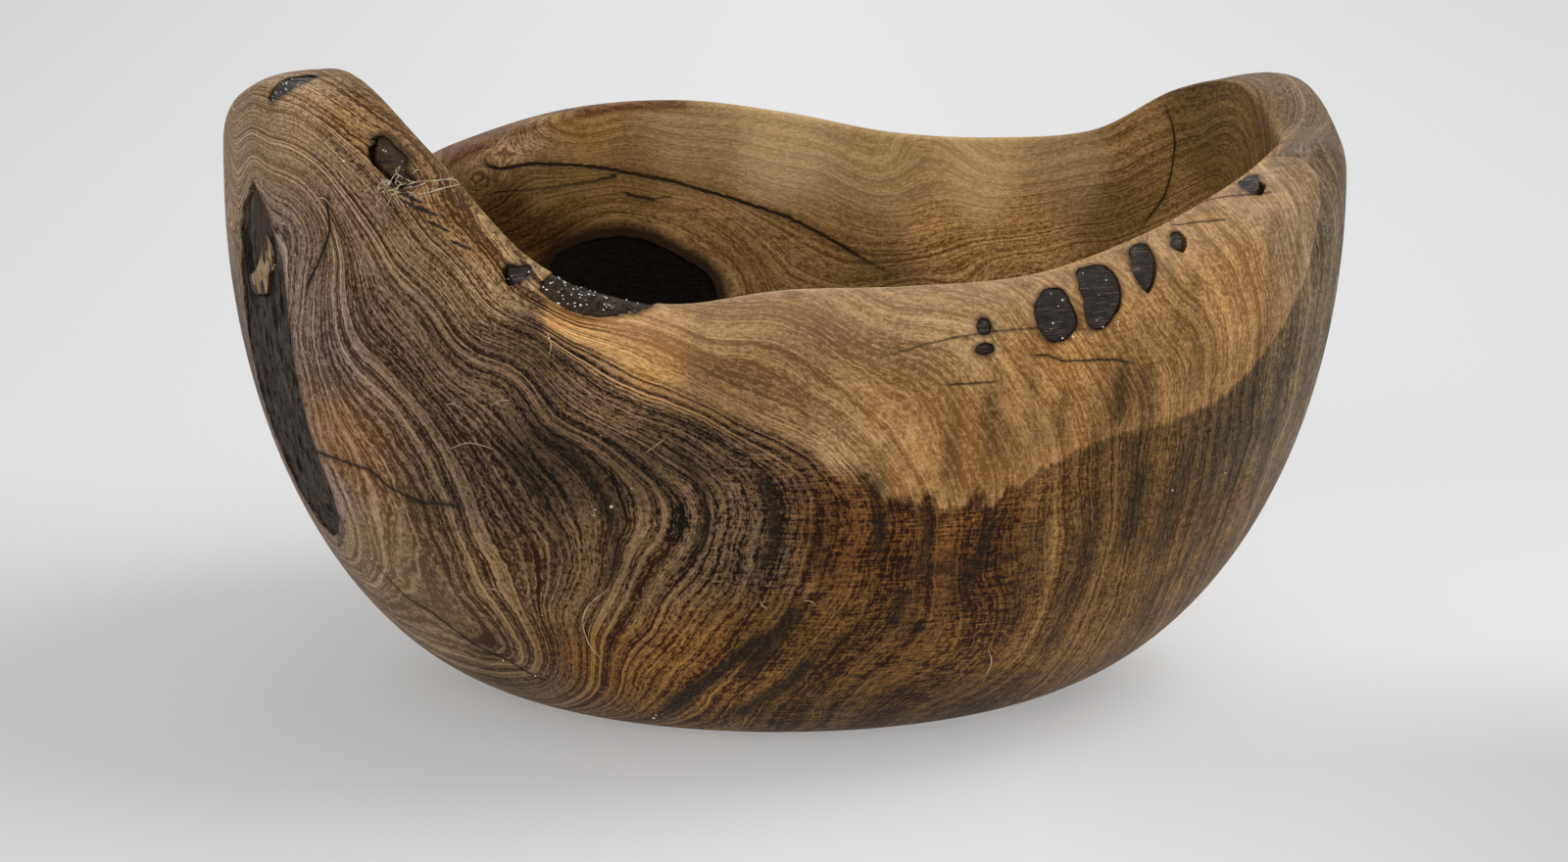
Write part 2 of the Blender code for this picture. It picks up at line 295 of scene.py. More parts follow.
def fine_copy(node, voxel, sunk, rough, grain):
    """A CAD node as an even fine mesh with an irregular outline, and how far its face sinks."""
    obj = copy_object(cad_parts[node], node + "_fine")
    remesh = obj.modifiers.new("remesh", "REMESH")
    remesh.mode = "VOXEL"
    remesh.voxel_size = voxel * MM
    apply_modifiers(obj)
    points = vertices(obj)
    away = out_of_wood(node, points)
    facing = facing_out(obj, away, 0.35)
    for i in np.nonzero(facing > 0)[0]:
        found = skin.find_nearest(Vector(points[i] * MM))[0]
        if found is not None and (found / MM - Vector(points[i])).length < SNAP_REACH:
            points[i] += facing[i] * (np.array(found) / MM - points[i])
        else:
            facing[i] = 0
    wobble = np.stack([noise(points + shift, 2.0) for shift in (0, 31, 67)], -1)
    wobble -= (wobble * away).sum(1, keepdims=True) * away
    points += WOBBLE * wobble
    set_vertices(obj, points)
    lumps = noise(points * grain, 1.1) + 0.5 * noise(points * grain + 50, 0.5)
    pits = np.clip(noise(points + 20, 3.0) - 0.25, 0, 1)
    drop = sunk + rough * (0.6 + 0.8 * lumps) + 1.5 * rough * pits
    return obj, facing[:, None] * drop[:, None] * away


INLAYS = {                    # voxel mm, how far sunk, roughness mm, stretch of the roughness
    "left_bark_inclusion": (0.34, 0.25, 0.34, (1, 1, 0.35)),
    "bark_splinter": (0.22, -0.15, 0.16, (1, 1, 0.3)),
    "lobe_top_knot": (0.22, 0.25, 0.22, (1, 1, 1)),
    "lobe_edge_knot": (0.22, 0.45, 0.28, (0.6, 0.6, 1)),
    "notch_knot": (0.2, 0.35, 0.22, (1, 1, 1)),
    "rim_knot_upper_dot": (0.15, 0.08, 0.08, (0.3, 0.3, 2)),
    "rim_knot_lower_dot": (0.15, 0.08, 0.08, (0.3, 0.3, 2)),
    "rim_knot_left": (0.22, 0.10, 0.10, (0.3, 0.3, 2)),
    "rim_knot_middle": (0.22, 0.12, 0.12, (0.3, 0.3, 2)),
    "rim_knot_right": (0.22, 0.10, 0.10, (0.3, 0.3, 2)),
    "rim_knot_small": (0.18, 0.08, 0.08, (0.3, 0.3, 2)),
    "rim_knot_far_right": (0.22, 0.12, 0.12, (1, 1, 1)),
    "inner_knot": (0.4, 0.15, 0.18, (1, 1, 1)),
    "notch_bark_strip": (0.26, 0.15, 0.24, (1, 1, 1)),
}
POCKET_GAP = 0.16
CUTTER_PROUD = 1.2            # how far the cutters stand out of the wood
skin = BVHTree.FromObject(body, bpy.context.evaluated_depsgraph_get())
inlays = {}
sinking = {}
for node, (voxel, sunk, rough, grain) in INLAYS.items():
    inlays[node], sinking[node] = fine_copy(node, voxel, sunk, rough, grain)


def pocket_cutter(nodes):
    """One mesh of the pieces, grown by the gap and standing out of the wood."""
    cutters = []
    for node in nodes:
        cutter = copy_object(inlays[node], "cutter")
        points = vertices(cutter)
        away = out_of_wood(node, points)
        facing = facing_out(cutter, away, 0.2)[:, None]
        set_vertices(cutter, points + POCKET_GAP * normals(cutter) + CUTTER_PROUD * facing * away)
        cutters.append(cutter)
    with bpy.context.temp_override(active_object=cutters[0], object=cutters[0],
                                   selected_objects=cutters, selected_editable_objects=cutters):
        bpy.ops.object.join()
    return cutters[0]


def cut(obj, cutter):
    modifier = obj.modifiers.new("cut", "BOOLEAN")
    modifier.operation = "DIFFERENCE"
    modifier.solver = "MANIFOLD"
    modifier.object = cutter
    apply_modifiers(obj)
    bpy.data.objects.remove(cutter)


cut(body, pocket_cutter([node for node in INLAYS if node != "bark_splinter"]))
for node, piece in inlays.items():
    set_vertices(piece, vertices(piece) - sinking[node])

# ---- where things are on the wood ----


def spots(places, inside=False):
    """3-D points on the outer or inner skin, from (direction in degrees, height in mm)."""
    angle = np.radians([direction for direction, z in places])
    radius, level = section(angle)
    rows = slice(INSIDE_START, None) if inside else slice(0, OUTSIDE_ROWS)
    order = -1 if inside else 1
    found = []
    for i, (direction, z) in enumerate(places):
        column = level[rows, i][::order]
        r = np.interp(z, column, radius[rows, i][::order])
        z = float(np.clip(z, column[0], column[-1]))
        found.append(place(angle[i], r, z))
    return np.array(found)


# Grain lines: growth level, then the (direction, height) points that the line runs through.
OUTER_GRAIN = [
    (8, [(197, 33), (205, 35), (208, 48), (209, 64), (209, 78), (207, 91), (203, 98)]),
    (12, [(200, 27), (207, 29), (213, 35), (214, 46), (212, 58), (211, 72), (213, 83), (214, 91),
        (209, 97), (203, 97)]),
    (20, [(231, 15), (234, 28), (233, 42), (230, 54), (224, 67), (218, 80), (218, 90), (213, 99),
        (205, 100), (196, 96)]),
    (26, [(229, 10), (239, 22), (243, 36), (243, 48), (238, 58), (230, 69), (223, 82), (220, 91),
        (213, 101), (205, 102), (196, 99)]),
    (32, [(229, 6), (243, 26), (250, 40), (252, 50), (249, 60), (240, 70), (230, 81), (224, 90),
        (218, 99), (211, 104), (204, 104), (194, 102)]),
    (38, [(231, 5), (245, 17), (257, 36), (260, 48), (255, 60), (245, 68), (236, 77), (227, 89),
        (219, 101), (211, 107), (203, 107), (193, 103)]),
    (44, [(238, 3), (254, 14), (266, 33), (269, 45), (267, 55), (260, 64), (250, 70), (242, 78),
        (232, 89), (224, 99), (217, 107), (210, 110), (200, 108)]),
    (50, [(254, 3), (267, 15), (275, 37), (277, 48), (273, 59), (265, 66), (257, 73), (248, 77),
        (240, 82), (232, 93), (224, 104), (216, 111)]),
    (56, [(272, 3), (281, 17), (285, 33), (284, 48), (278, 64), (268, 76), (256, 80), (246, 82)]),
    (62, [(285, 3), (293, 17), (293, 35), (289, 55), (283, 73), (272, 81), (258, 83)]),
    (70, [(300, 6), (307, 20), (305, 42), (301, 65), (292, 81), (281, 85)]),
    (80, [(325, 5), (317, 21), (313, 45), (309, 70), (299, 86)]),
    (90, [(336, 10), (326, 25), (324, 48), (321, 68), (315, 91)]),
    (100, [(340, 20), (333, 40), (331, 62), (328, 80), (326, 96)]),
    (110, [(350, 20), (342, 45), (341, 70), (340, 90), (345, 101)]),
    (114, [(5, 20), (0, 50), (358, 80), (2, 100)]),
    (108, [(30, 12), (24, 40), (20, 70), (22, 100)]),
    (100, [(52, 10), (48, 35), (45, 60), (46, 85)]),
    (92, [(75, 12), (68, 30), (64, 52), (66, 75), (72, 88)]),
    (96, [(104, 58)]),
    (90, [(104, 68), (111, 58), (104, 48), (97, 58)]),
    (84, [(104, 77), (117, 58), (104, 39), (91, 58)]),
    (70, [(128, 88), (125, 70), (124, 50), (129, 30), (138, 12)]),
    (58, [(140, 86), (137, 66), (137, 45), (145, 22)]),
    (44, [(156, 90), (153, 70), (155, 45), (163, 20)]),
    (32, [(170, 98), (168, 75), (171, 50), (178, 22)]),
    (22, [(182, 104), (180, 80), (183, 50), (188, 24)]),
    (14, [(192, 100), (191, 80), (193, 55), (196, 35)]),
]
INNER_GRAIN = [
    (68, [(125, 64), (119, 68), (113, 69), (106, 66), (100, 61), (97, 56)]),
    (74, [(131, 70), (124, 74), (116, 76), (108, 74), (100, 70), (95, 64), (92, 57)]),
    (72, [(84, 50), (70, 54), (56, 59), (44, 63), (33, 68), (22, 74)]),
    (78, [(81, 58), (72, 60), (61, 65), (48, 70), (38, 74), (29, 80), (20, 86)]),
    (82, [(139, 84), (128, 83), (117, 81), (107, 78), (96, 74), (88, 69), (79, 65), (69, 66),
        (56, 70), (44, 74), (34, 80)]),
    (88, [(127, 88), (112, 87), (98, 83), (84, 78), (75, 74), (61, 75), (50, 77), (39, 81),
        (31, 87), (23, 91), (12, 90)]),
    (94, [(119, 92), (107, 92), (91, 90), (76, 84), (61, 85), (46, 88), (37, 93), (29, 98),
        (21, 101), (10, 100)]),
]
FIELD_EASE = 6.0              # mm over which the field rounds off at each point
FIELD_GIVE = 0.4              # how far it may miss the values
PART = 8192                   # points worked out at a time


def in_parts(function, where):
    return np.concatenate([function(where[start:start + PART])
                           for start in range(0, len(where), PART)])


def smooth_field(points, values):
    """A smooth function through values at scattered points."""
    def gaps(where):
        return np.sqrt(((where[:, None] - points[None]) ** 2).sum(-1) + FIELD_EASE ** 2)

    count = len(points)
    flat = np.concatenate([np.ones((count, 1)), points / 100], 1)
    system = np.block([[-gaps(points) + FIELD_GIVE * np.eye(count), flat],
                       [flat.T, np.zeros((4, 4))]])
    answer = np.linalg.solve(system, np.concatenate([values, np.zeros(4)]))

    def evaluate(where):
        return -gaps(where) @ answer[:count] + answer[count] + where / 100 @ answer[count + 1:]
    return lambda where: in_parts(evaluate, where)


field_points, field_values = [], []
for lines, inside in ((OUTER_GRAIN, False), (INNER_GRAIN, True)):
    for level, places in lines:
        field_points.append(spots(places, inside))
        field_values += [level] * len(places)
growth = smooth_field(np.concatenate(field_points), np.array(field_values, float))

# ---- colours of the wood: light and dark streak of each kind, sRGB ----
WOODS = {
    "tan": ((187, 158, 120), (116, 86, 54)),
    "buff": ((176, 146, 108), (78, 52, 28)),
    "ash": ((146, 124, 108), (64, 46, 36)),
    "umber": ((140, 114, 88), (54, 33, 18)),
    "walnut": ((116, 90, 64), (26, 12, 3)),
    "chestnut": ((144, 115, 78), (62, 37, 14)),
    "amber": ((166, 128, 88), (98, 62, 32)),
    "olive": ((148, 124, 92), (98, 75, 48)),
    "russet": ((124, 88, 40), (50, 22, 0)),
    "mahogany": ((114, 74, 32), (42, 15, 0)),
    "cedar": ((134, 101, 56), (68, 42, 13)),
    "bog": ((116, 90, 56), (46, 28, 9)),
    "moss": ((144, 118, 80), (66, 48, 23)),
    "honey": ((202, 155, 96), (128, 82, 34)),
    "fawn": ((188, 148, 98), (104, 70, 34)),
    "blond": ((196, 160, 112), (112, 80, 42)),
    "gold": ((182, 140, 86), (104, 68, 28)),
    "sand": ((182, 154, 106), (140, 112, 70)),
    "cream": ((198, 170, 124), (162, 134, 92)),
    "tobacco": ((146, 116, 70), (94, 66, 30)),
    "cocoa": ((82, 55, 20), (42, 21, 0)),
}
# Where each kind of wood shows: direction, height, how bright.
HEART_ZONES = {
    # The tan entries at 341 and 0 degrees, at 0.46, are painted shade darkening the bowl's right
    # side.
    "tan": [(211, 110, 1.1), (206, 103, 0.8), (341, 96, 0.46), (0, 100, 0.46), (20, 95, 0.6),
        (170, 95, 0.9), (190, 100, 0.9)],
    "buff": [(217, 113, 1.0), (231, 95, 0.75), (237, 87, 1.0), (140, 84, 0.9)],
    "umber": [(218, 98, 1.4), (226, 103, 1.15), (228, 76, 0.85), (233, 67, 0.8), (232, 50, 0.7),
        (140, 50, 0.9), (170, 60, 1.0)],
    "ash": [(207, 88, 1.05), (214, 72, 1.1), (206, 43, 1.4), (190, 60, 1.0)],
    "amber": [(214, 54, 1.0)],
    "olive": [(212, 34, 1.2), (217, 22, 1.1), (20, 15, 0.9), (175, 20, 1.0)],
    "walnut": [(242, 74, 0.95), (251, 70, 1.6), (243, 57, 0.45), (252, 56, 0.55), (259, 62, 0.85),
        (261, 46, 1.5), (267, 43, 0.95)],
    "chestnut": [(234, 32, 0.95), (242, 33, 0.75), (252, 42, 0.7), (226, 14, 0.75), (104, 40, 0.9),
        (140, 15, 0.9)],
    "russet": [(244, 18, 1.25), (259, 19, 1.55), (270, 26, 0.8), (283, 27, 0.8), (297, 24, 1.15),
        (279, 10, 0.65), (300, 8, 0.68), (60, 15, 1.0), (104, 12, 1.0)],
    "mahogany": [(276, 43, 1.0), (285, 46, 1.1), (293, 41, 1.15), (292, 34, 0.85)],
    "cedar": [(306, 43, 1.15), (316, 48, 0.9), (319, 29, 1.05), (310, 22, 1.25), (330, 37, 1.25),
        (60, 45, 1.0)],
    "bog": [(324, 58, 0.85)],
    "moss": [(333, 54, 0.88), (336, 67, 0.92), (340, 80, 0.95), (20, 50, 0.9)],
    "gold": [(60, 84, 0.9), (104, 84, 0.9)],
}
SAP_ZONES = {
    "honey": [(244, 83, 2.1), (255, 79, 1.15), (298, 69, 1.1), (280, 67, 0.74), (287, 60, 0.8),
        (296, 60, 0.7), (100, 80, 1.0)],
    "fawn": [(264, 80, 0.8), (272, 80, 0.7), (264, 70, 0.62), (272, 69, 0.8)],
    "blond": [(280, 81, 0.76), (289, 82, 0.86), (276, 62, 0.9), (140, 80, 1.0)],
    "gold": [(308, 67, 1.0), (315, 74, 0.95), (322, 84, 1.25), (60, 80, 1.0)],
    "tan": [(332, 95, 0.85)],
}
INNER_ZONES = {
    "buff": [(130, 89, 1.6)],
    "tobacco": [(119, 89, 1.6), (37, 91, 1.5), (25, 96, 0.75), (13, 99, 1.05), (40, 75, 1.0),
        (79, 67, 1.35), (90, 65, 1.3), (102, 72, 1.45), (113, 78, 1.1), (125, 78, 0.9),
        (93, 59, 1.25), (76, 60, 0.9), (31, 82, 1.4), (0, 60, 1.0), (235, 70, 1.0), (200, 80, 1.0),
        (150, 55, 1.0), (60, 20, 1.0), (300, 20, 1.0)],
    "sand": [(104, 87, 1.05), (76, 79, 1.22), (47, 83, 1.05), (270, 60, 1.0), (170, 80, 1.0)],
    "cream": [(90, 82, 1.2), (62, 78, 1.3)],
    "gold": [(55, 69, 1.3), (67, 68, 1.35), (340, 80, 1.0), (310, 60, 1.0)],
    "cocoa": [(131, 75, 1.15), (125, 67, 1.1), (180, 20, 1.2)],
}
BRIGHTER = 1.05               # all the colours together
ZONE_EASE = 12.0              # square mm over which a zone rounds off


def linear(colour):
    c = np.asarray(colour, float) / 255
    return BRIGHTER * np.where(c <= 0.04045, c / 12.92, ((c + 0.055) / 1.055) ** 2.4)


def blended(zones, where, shade, inside=False):
    """Colour at each point, mixed from the zones round it; shade 0 is light, 1 is dark."""
    centres = spots([zone[:2] for places in zones.values() for zone in places], inside)
    colours = np.array([linear(WOODS[kind][shade]) * zone[2]
                        for kind, places in zones.items() for zone in places])

    def evaluate(part):
        gap = ((part[:, None] - centres[None]) ** 2).sum(-1)
        weight = 1 / (gap + ZONE_EASE) ** 2
        return weight @ colours / weight.sum(1, keepdims=True)
    return in_parts(evaluate, where)


# The edge between dark heartwood and pale sapwood: (direction, height); heartwood below.
HEART_EDGE = [
    (0, 120), (30, 104), (50, 78), (75, 66), (95, 72), (120, 74), (140, 80), (155, 104),
    (170, 130), (238, 130), (241, 92), (244, 81), (249, 78), (254, 71), (260, 67), (268, 64),
    (272, 62), (275, 57), (279, 56), (281, 51), (284, 51), (286, 52), (288, 49), (290, 48),
    (292, 51), (294, 48), (296, 51), (299, 53), (303, 57), (308, 59), (316, 60), (322, 62),
    (327, 66), (332, 72), (336, 79), (339, 90), (342, 106), (346, 130),
]


def heart_depth(where):
    """Millimetres below the edge of the heartwood."""
    direction = np.degrees(np.arctan2(where[:, 1], where[:, 0])) % 360
    edge = HEART_EDGE + [(360, 120)]
    return np.interp(direction, [d for d, z in edge], [z for d, z in edge]) - where[:, 2]


# Cracks: inside?, width in mm, darkness, points.
CRACKS = [
    (False, 0.42, 1.0, [(217, 98.5), (216.5, 96), (217, 92), (216, 88.5), (214.5, 85), (213, 82),
        (212, 79)]),
    (False, 0.5, 0.8, [(196.5, 49), (205, 50.5), (212, 50.5), (218, 50), (220.5, 47.5), (225, 46),
        (229, 46.5), (232, 46)]),
    (False, 0.45, 0.9, [(210, 31.5), (214, 25), (218, 23), (223, 17.5), (227, 16), (230, 13),
        (233, 12)]),
    (False, 0.3, 0.7, [(318, 92.5), (321, 93), (324, 93)]),
    (False, 0.3, 0.7, [(324.5, 95.5), (328, 96), (332, 96)]),
    (False, 0.25, 0.55, [(280, 76), (285, 78), (289, 79), (293, 79.5), (298, 79.5), (306, 78)]),
    (False, 0.28, 0.8, [(296.5, 75), (298.5, 75), (300.5, 73.5), (306.5, 73), (310, 71.5)]),
    (False, 0.25, 0.7, [(287, 71), (289.5, 71), (293.5, 71)]),
    (True, 0.55, 0.95, [(134.5, 86), (134, 83.5), (132, 82.5), (127, 83), (118, 81.5), (107, 78),
        (96.5, 73.5), (90, 70.5), (84, 66.5), (79.5, 63), (72.5, 58)]),
    (True, 0.4, 0.9, [(32, 98.5), (30, 94), (29.5, 90), (30.5, 83), (32, 79), (36.5, 72.5)]),
    (True, 0.5, 0.8, [(114, 76), (111.5, 75), (108.5, 74)]),
]
SECOND_LAYER = (6, 7, 10)     # cracks that run close beside another one
CRACK_REACH = 4.5


def short_pieces(where, places, parts, reach, inside=False):
    """A line in short straight pieces: the points near it, each piece's step, the points' offset
    and distance from the piece, and how far along the line they are, 0 to 1."""
    dense = [tuple(np.add(np.multiply(a, 1 - t), np.multiply(b, t)))
             for a, b in zip(places, places[1:]) for t in np.arange(parts) / parts]
    line = spots(dense + [places[-1]], inside)
    near = np.nonzero(((where > line.min(0) - reach) & (where < line.max(0) + reach)).all(1))[0]
    points = where[near]
    for k, start in enumerate(line[:-1]):
        step = line[k + 1] - start
        t = np.clip((points - start) @ step / (step @ step), 0, 1)
        offset = points - start - t[:, None] * step
        yield near, step, offset, np.linalg.norm(offset, axis=1), (k + t) / (len(line) - 1)


def fading_ends(along, speed, least=0.0):
    """1 along a line, falling towards its ends."""
    return np.clip(np.minimum(along, 1 - along) * speed + least, 0, 1)


def crack_fields(where, outward, chosen_cracks):
    """Signed distance in mm to the nearest crack, and how strong the crack is."""
    distance = np.full(len(where), CRACK_REACH)
    signed = np.full(len(where), CRACK_REACH)
    strength = np.zeros(len(where))
    for inside, width, darkness, places in chosen_cracks:
        for near, step, offset, gap, along in short_pieces(where, places, 3, CRACK_REACH, inside):
            closer = gap < distance[near]
            chosen = near[closer]
            side = np.sign((np.cross(step, offset[closer]) * outward[chosen]).sum(1))
            distance[chosen] = gap[closer]
            signed[chosen] = side * gap[closer] / width
            strength[chosen] = darkness * fading_ends(along[closer], 8)
    strength *= np.clip((CRACK_REACH - distance) / 2.0, 0, 1)
    return signed, strength


# Soft dark strokes in the outer wood: half-width in mm, darkness, points.
STROKES = [
    (1.6, 0.8, [(312, 55), (313, 46), (314, 36)]),
    (1.3, 0.95, [(273, 33), (270, 28), (267, 22), (264, 15)]),
    (1.4, 1.0, [(270, 28), (266, 24), (261, 18), (255, 12), (247, 4)]),
    (1.2, 0.9, [(275, 23), (272, 17), (267, 12), (261, 6)]),
    (1.1, 0.9, [(266, 57), (268, 54), (269, 48), (269, 43), (267, 39)]),
    (1.0, 0.9, [(257, 61), (259, 58), (261, 53), (261, 48), (260, 43), (258, 38)]),
    (0.9, 0.9, [(278, 57), (280, 54), (281, 48), (281, 40)]),
    (1.2, 0.8, [(286, 51), (287, 45), (286, 37)]),
    (1.2, 0.8, [(294, 50), (294, 41), (292, 33)]),
    (1.1, 0.75, [(285, 35), (284, 26)]),
    (2.0, 0.4, [(293, 74), (294, 57)]),
    (1.6, 0.6, [(308, 73), (308, 61)]),
    (1.6, 0.6, [(311, 73), (312, 61), (310, 52)]),
    (1.4, 0.4, [(297, 72), (299, 59)]),
    (1.4, 0.45, [(301, 70), (301, 59)]),
    (1.6, 0.65, [(319, 57), (319, 44), (321, 31)]),
    (1.4, 0.6, [(324, 60), (325, 49), (327, 38), (327, 28)]),
    (1.3, 0.6, [(328, 66), (329, 54), (329, 42)]),
    (1.6, 0.5, [(308, 53), (308, 39), (308, 28), (308, 17)]),
    (1.8, 0.5, [(300, 48), (301, 35), (301, 22)]),
    (1.0, 0.6, [(282, 37), (289, 38), (297, 39), (301, 41)]),
    (1.4, 0.6, [(333, 70), (335, 55), (337, 40)]),
    (1.2, 0.7, [(244, 62), (248, 55), (250, 47), (250, 40), (247, 33)]),
    (1.1, 0.6, [(237, 60), (241, 52), (243, 44), (242, 36)]),
]


def strokes(where):
    darkness = np.zeros(len(where))
    for width, depth, places in STROKES:
        for near, _, _, gap, along in short_pieces(where, places, 4, 3 * width):
            core = np.minimum(1.7 * np.exp(-(gap / width) ** 2), 1)
            darkness[near] = np.maximum(darkness[near], depth * fading_ends(along, 5, 0.15) * core)
    return darkness


# Wood gone dark beside a knot: reach in mm, darkness.
SOAKED = {"inner_knot": (3.0, 1.0), "lobe_edge_knot": (1.5, 0.8),
          "left_bark_inclusion": (0.9, 0.6), "notch_bark_strip": (1.0, 0.6)}
SOAKED_OTHERS = (0.7, 0.7)


def soaked(where, inside):
    """How dark the wood is beside the knots, each on its own side of the wall."""
    darkness = np.zeros(len(where))
    for node, piece in inlays.items():
        reach, depth = SOAKED.get(node, SOAKED_OTHERS)
        points = vertices(piece)
        tree = KDTree(len(points))
        for i, point in enumerate(points):
            tree.insert(point, i)
        tree.balance()
        lowest, highest = points.min(0) - 2.5 * reach, points.max(0) + 2.5 * reach
        for i in np.nonzero(((where > lowest) & (where < highest)).all(1))[0]:
            gap = tree.find(where[i])[2]
            shown = inside[i] if node == "inner_knot" else 1 - inside[i]
            darkness[i] = max(darkness[i], shown * depth * math.exp(-(gap / reach) ** 2))
    return darkness


def attribute(obj, name, values):
    """A number or a colour at each vertex, which the material reads."""
    if values.ndim == 1:
        made = obj.data.attributes.new(name, "FLOAT", "POINT")
        made.data.foreach_set("value", values.astype(np.float32))
    else:
        made = obj.data.attributes.new(name, "FLOAT_COLOR", "POINT")
        opaque = np.ones((len(values), 1))
        made.data.foreach_set("color", np.hstack([values, opaque]).astype(np.float32).ravel())


def band(values, low_edge, high_edge, ease):
    """1 between the edges, falling to 0 over ease at both."""
    return (np.clip((values - low_edge) / ease + 0.5, 0, 1)
            * np.clip((high_edge - values) / ease + 0.5, 0, 1))


# Light and dark sRGB colours of the front rim's top, paler and flatter than the wood there as a
# painted highlight, the left lobe's rim and the back rim's bark.
FRONT_RIM_PAINTED_HIGHLIGHT = ((190, 154, 113), (140, 106, 72))
LOBE_WOOD = ((169, 130, 80), (81, 52, 20))
RIM_BARK = ((122, 78, 50), (52, 30, 17))


# Where each look shows: from and to, in degrees, and over how many degrees it fades.
LOBE_RIM = (214, 238, 4)
FRONT_RIM = (250, 335, 6)
BACK_RIM = (103, 142, 5)
# The band of the painted highlight along the rim's inner edge.
RIM_EDGE_PAINTED_HIGHLIGHT = (236, 345, 6)
JAGGED = (277, 303, 6)
CRISP = (277, 350, 6)
DASHED = (266, 302, 14)
RIGHT_FLANK = (262, 345, 24)
LEFT_FLANK = (190, 262, 26)


def ramp_down(values, start, length):
    """1 up to the start, 0 from start plus length on."""
    return np.clip((start + length - values) / length, 0, 1)


def wood_attributes(obj):
    where = vertices(obj)
    outward = normals(obj)
    x, y, z = where.T
    direction = np.degrees(np.arctan2(y, x)) % 360
    radial = np.hypot(x, y)
    angle = np.radians(direction)
    hollow = plan_radius(angle) - around(RIM_WIDTH, angle)
    outer = wall_radius(angle, np.minimum(z, SWELL_HEIGHT))
    inside = ramp_down(radial, outer - 5.0, 2.0) * ramp_down(radial, hollow + 1.0, 1.5)
    inside = np.where(z < FLOOR_TOP - 3, 0, inside)
    heart = heart_depth(where)
    up = np.clip((outward[:, 2] - 0.3) / 0.25, 0, 1) * (1 - inside) * (z > 60)
    below_rim = around(RIM_HEIGHT, angle) - z
    lobe_rim = up * band(direction, *LOBE_RIM)
    # The front rim's top, down to about 8 mm, is mixed towards paler colours: a painted highlight.
    front_rim_highlight = band(direction, *FRONT_RIM) * np.clip(1.2 - below_rim / 7, 0, 1)
    back_rim = (np.maximum(up, ramp_down(below_rim, 1.0, 1.2)) * band(direction, *BACK_RIM)
                * np.clip(0.9 + noise(where, 6.0), 0, 1))
    # A painted highlight: a thin band along the rim's inner edge, where the colour is brightened
    # below.
    edge = (band(direction, *RIM_EDGE_PAINTED_HIGHLIGHT) * ramp_down(below_rim, 0, 3)
            * np.exp(-((radial - hollow) / 1.2) ** 2))

    def over(shown, colour, share):
        return shown + share[:, None] * (colour - shown)

    for shade, word in enumerate(("light", "dark")):
        inner = blended(INNER_ZONES, where, shade, True)
        for zones, kind in ((HEART_ZONES, "heart_"), (SAP_ZONES, "sap_")):
            shown = over(blended(zones, where, shade), linear(LOBE_WOOD[shade]), 0.75 * lobe_rim)
            shown = over(shown, linear(FRONT_RIM_PAINTED_HIGHLIGHT[shade]), 0.7 * front_rim_highlight)
            # Along the rim's inner edge the colour is brightened by up to 0.8 times: a painted
            # highlight.
            shown = over(shown, inner, inside) * (1 + 0.8 * edge)[:, None]
            attribute(obj, kind + word, over(shown, linear(RIM_BARK[shade]), 0.85 * back_rim))
    for layer in (0, 1):
        chosen = [crack for i, crack in enumerate(CRACKS) if (i in SECOND_LAYER) == bool(layer)]
        signed, strength = crack_fields(where, outward, chosen)
        attribute(obj, f"crack_{layer}", signed)
        attribute(obj, f"crack_strength_{layer}", strength)
    right = band(direction, *RIGHT_FLANK) * (1 - inside)
    left = band(direction, *LEFT_FLANK) * (1 - inside)
    dashes = np.clip(0.5 + heart / 3, 0, 1) * band(direction, *DASHED)
    fleck_share = 0.3 + 0.3 * right + 1.3 * dashes
    line_share = 0.76 + 0.4 * left
    for name, values in (("growth", growth(where)), ("heart", heart), ("inside", inside),
                         ("jag", band(direction, *JAGGED)),
                         ("crisp", band(direction, *CRISP)),
                         ("stroke", strokes(where)), ("soak", soaked(where, inside)),
                         ("character", np.stack([fleck_share, right, line_share], -1))):
        attribute(obj, name, values)


# ---- shader building ----
WARM_GLOSS = (1.0, 0.88, 0.72, 1.0)


